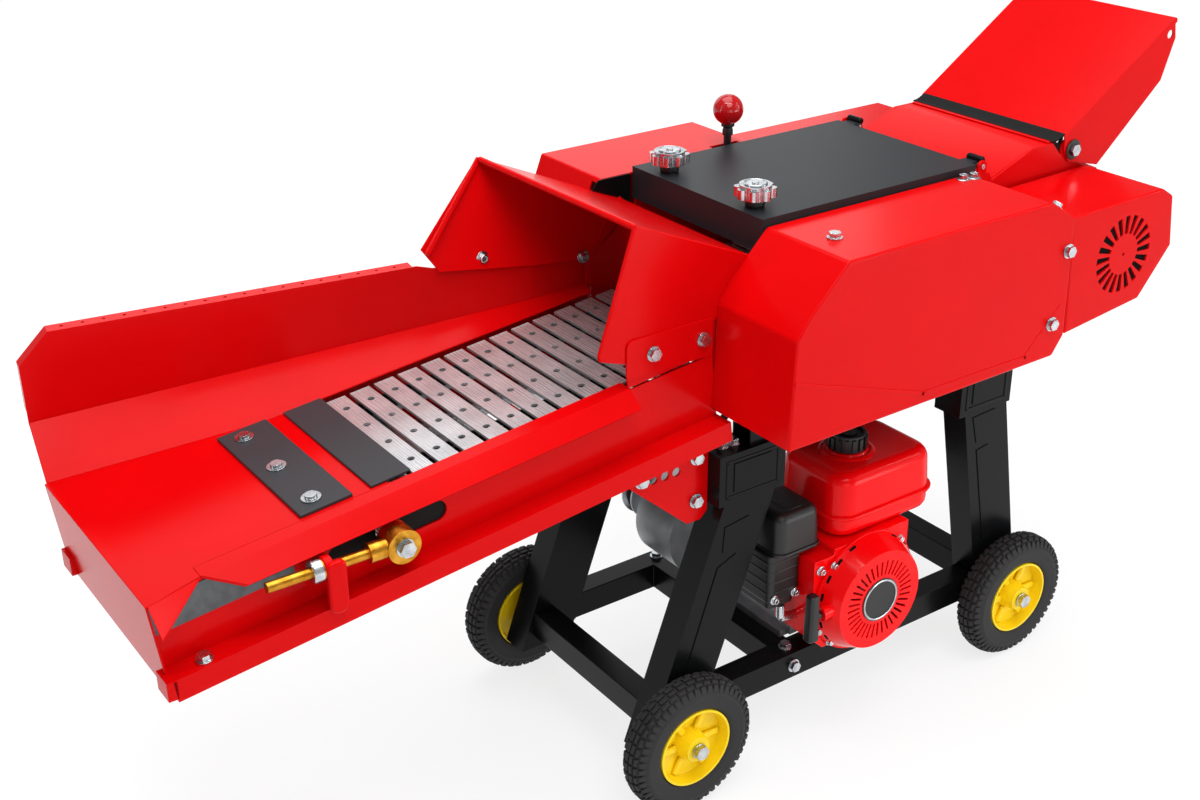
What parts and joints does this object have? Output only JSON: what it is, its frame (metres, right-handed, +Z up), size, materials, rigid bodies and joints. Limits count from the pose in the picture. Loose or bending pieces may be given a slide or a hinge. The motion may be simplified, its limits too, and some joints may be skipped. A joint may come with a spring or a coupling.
{
  "type": "chaff cutter",
  "caption": "Petrol chaff cutter on wheels: a rising slat conveyor feeds crop under a hood to feed rollers and a knife rotor, and chopped feed leaves under a tilting flap.",
  "frame": {"origin": "on the floor, under the middle of the machine's box", "axes": "+X along the crop's way from feed to discharge, +Y to the belt side, +Z up"},
  "size_m": [1.7657, 0.652, 1.0269],
  "materials": {
    "red_paint": "gloss powder coat on bent sheet",
    "black_paint": "satin powder coat",
    "zinc": "bright zinc plate",
    "stainless": "fine brushed",
    "yellow_zinc": "yellow zinc plate",
    "chain_steel": "oiled dark steel",
    "grey_sheet": "matt grey sheet",
    "dark_steel": "dark hammered plate",
    "cast_alloy": "as cast",
    "plain_steel": "machined",
    "green_cast": "painted casting",
    "tyre_rubber": "moulded rubber",
    "rim_yellow": "gloss yellow paint",
    "belt_rubber": "matt rubber",
    "black_plastic": "fine grain moulding",
    "engine_red": "gloss paint",
    "muffler_steel": "heat-proof dark paint"
  },
  "bodies": {
    "frame": {"legs": "black_paint", "base_rails": "black_paint", "bracket_plates": "red_paint", "axle_pins": "zinc", "fasteners": "zinc", "conveyor_beams": "red_paint", "feed_table": "red_paint", "guide_board": "red_paint", "cover_plates": "dark_steel", "table_web": "grey_sheet", "chain_rails": "plain_steel", "tension_brackets": "red_paint", "tension_rods": "yellow_zinc", "feed_hood": "red_paint", "chamber_sides": "red_paint", "chamber_floor": "plain_steel", "discharge_duct": "red_paint", "bed_knife": "plain_steel", "gear_cover": "red_paint", "vent_cover": "red_paint", "belt_cover": "red_paint", "feed_gearbox": "cast_alloy", "shaft_bearings": "green_cast", "drive_belts": "belt_rubber", "crankcase": "cast_alloy", "fan_shroud": "engine_red", "recoil_cover": "engine_red", "fuel_tank": "engine_red", "air_filter": "black_plastic", "muffler": "muffler_steel"},
    "upper_run": {"upper_slats": "stainless", "upper_chain": "chain_steel"},
    "lower_run": {"lower_run": "stainless"},
    "head": {"head_shaft": "plain_steel", "head_slats": "stainless"},
    "tail": {"tail_shaft": "zinc", "tail_slats": "stainless"},
    "lower_roller": {"lower_feed_roller": "plain_steel"},
    "upper_roller": {"upper_feed_roller": "plain_steel"},
    "idler": {"idler_gear": "plain_steel"},
    "rotor": {"rotor_shaft": "plain_steel", "rotor_knives": "plain_steel"},
    "feed_input": {"input_pulley": "plain_steel"},
    "engine_output": {"engine_pulley": "plain_steel"},
    "lid": {"top_cover": "black_paint"},
    "lid_knob_left": {"knob_left": "zinc"},
    "lid_knob_right": {"knob_right": "zinc"},
    "flap": {"chute_flap": "red_paint"},
    "lever": {"clutch_lever": "black_plastic"},
    "starter": {"starter_handle": "black_plastic"},
    "tank_cap": {"fuel_cap": "black_plastic"},
    "front_right_wheel": {"front_right_tyre": "tyre_rubber", "front_right_rim": "rim_yellow"},
    "front_left_wheel": {"front_left_tyre": "tyre_rubber", "front_left_rim": "rim_yellow"},
    "rear_right_wheel": {"rear_right_tyre": "tyre_rubber", "rear_right_rim": "rim_yellow"},
    "rear_left_wheel": {"rear_left_tyre": "tyre_rubber", "rear_left_rim": "rim_yellow"}
  },
  "joints": [
    {"name": "conveyor_travel", "type": "slide", "parent": "frame", "child": "upper_run", "axis": [0.9938, 0, 0.1115], "range_m": [0, 0.0381]},
    {"name": "return_travel", "type": "slide", "parent": "frame", "child": "lower_run", "axis": [-0.9938, 0, -0.1115], "range_m": [0, 0.0383]},
    {"name": "head_turn", "type": "hinge", "parent": "frame", "child": "head", "pos_m": [0.22914, 0, 0.66841], "axis": [0, 1, 0], "range_deg": [0, 60.1]},
    {"name": "tail_turn", "type": "hinge", "parent": "frame", "child": "tail", "pos_m": [-0.56597, 0, 0.57923], "axis": [0, 1, 0], "range_deg": [0, 60.1]},
    {"name": "lower_roller_turn", "type": "hinge", "parent": "frame", "child": "lower_roller", "pos_m": [0.42553, 0, 0.70623], "axis": [0, 1, 0], "range_deg": [0, 60.1]},
    {"name": "upper_roller_turn", "type": "hinge", "parent": "frame", "child": "upper_roller", "pos_m": [0.42553, 0, 0.77823], "axis": [0, -1, 0], "range_deg": [0, 60.1]},
    {"name": "idler_turn", "type": "hinge", "parent": "frame", "child": "idler", "pos_m": [0.32733, -0.188, 0.68732], "axis": [0, -1, 0], "range_deg": [0, 33.9]},
    {"name": "rotor_spin", "type": "hinge", "parent": "frame", "child": "rotor", "pos_m": [0.61654, 0, 0.731], "axis": [0, -1, 0], "continuous": true},
    {"name": "feed_input_spin", "type": "hinge", "parent": "frame", "child": "feed_input", "pos_m": [0.22914, 0.264, 0.73041], "axis": [0, -1, 0], "continuous": true},
    {"name": "engine_output_spin", "type": "hinge", "parent": "frame", "child": "engine_output", "pos_m": [0.10054, 0.2, 0.264], "axis": [0, -1, 0], "continuous": true},
    {"name": "lid_open", "type": "hinge", "parent": "frame", "child": "lid", "pos_m": [0.46254, 0, 0.858], "axis": [0, 1, 0], "range_deg": [0, 75]},
    {"name": "knob_left_turn", "type": "hinge", "parent": "lid", "child": "lid_knob_left", "pos_m": [0.06054, 0.098, 0.87], "axis": [0, 0, 1], "continuous": true},
    {"name": "knob_right_turn", "type": "hinge", "parent": "lid", "child": "lid_knob_right", "pos_m": [0.06054, -0.098, 0.87], "axis": [0, 0, 1], "continuous": true},
    {"name": "flap_tilt", "type": "hinge", "parent": "frame", "child": "flap", "pos_m": [0.66154, 0, 0.85], "axis": [0, -1, 0], "range_deg": [-20, 30]},
    {"name": "lever_shift", "type": "hinge", "parent": "frame", "child": "lever", "pos_m": [0.23514, 0.176, 0.776], "axis": [0, 1, 0], "range_deg": [-12, 12]},
    {"name": "starter_pull", "type": "slide", "parent": "frame", "child": "starter", "axis": [-1, 0, 0], "range_m": [0, 0.11], "stiffness_N_per_m": 120},
    {"name": "tank_cap_turn", "type": "hinge", "parent": "frame", "child": "tank_cap", "pos_m": [0.21654, -0.152, 0.47], "axis": [0, 0, 1], "continuous": true},
    {"name": "front_right_roll", "type": "hinge", "parent": "frame", "child": "front_right_wheel", "pos_m": [-0.14046, -0.223, 0.11], "axis": [0, 1, 0], "continuous": true},
    {"name": "front_left_roll", "type": "hinge", "parent": "frame", "child": "front_left_wheel", "pos_m": [-0.14046, 0.223, 0.11], "axis": [0, 1, 0], "continuous": true},
    {"name": "rear_right_roll", "type": "hinge", "parent": "frame", "child": "rear_right_wheel", "pos_m": [0.55054, -0.223, 0.11], "axis": [0, 1, 0], "continuous": true},
    {"name": "rear_left_roll", "type": "hinge", "parent": "frame", "child": "rear_left_wheel", "pos_m": [0.55054, 0.223, 0.11], "axis": [0, 1, 0], "continuous": true}
  ],
  "couplings": [
    {"joint": "return_travel", "follows": "conveyor_travel", "ratio": 1},
    {"joint": "head_turn", "follows": "conveyor_travel", "rad_per_m": 27.485},
    {"joint": "tail_turn", "follows": "conveyor_travel", "rad_per_m": 27.485},
    {"joint": "lower_roller_turn", "follows": "conveyor_travel", "rad_per_m": 27.485},
    {"joint": "upper_roller_turn", "follows": "conveyor_travel", "rad_per_m": 27.485},
    {"joint": "idler_turn", "follows": "conveyor_travel", "rad_per_m": 15.461},
    {"joint": "feed_input_spin", "follows": "rotor_spin", "ratio": 0.5},
    {"joint": "engine_output_spin", "follows": "rotor_spin", "ratio": 1.75}
  ]
}
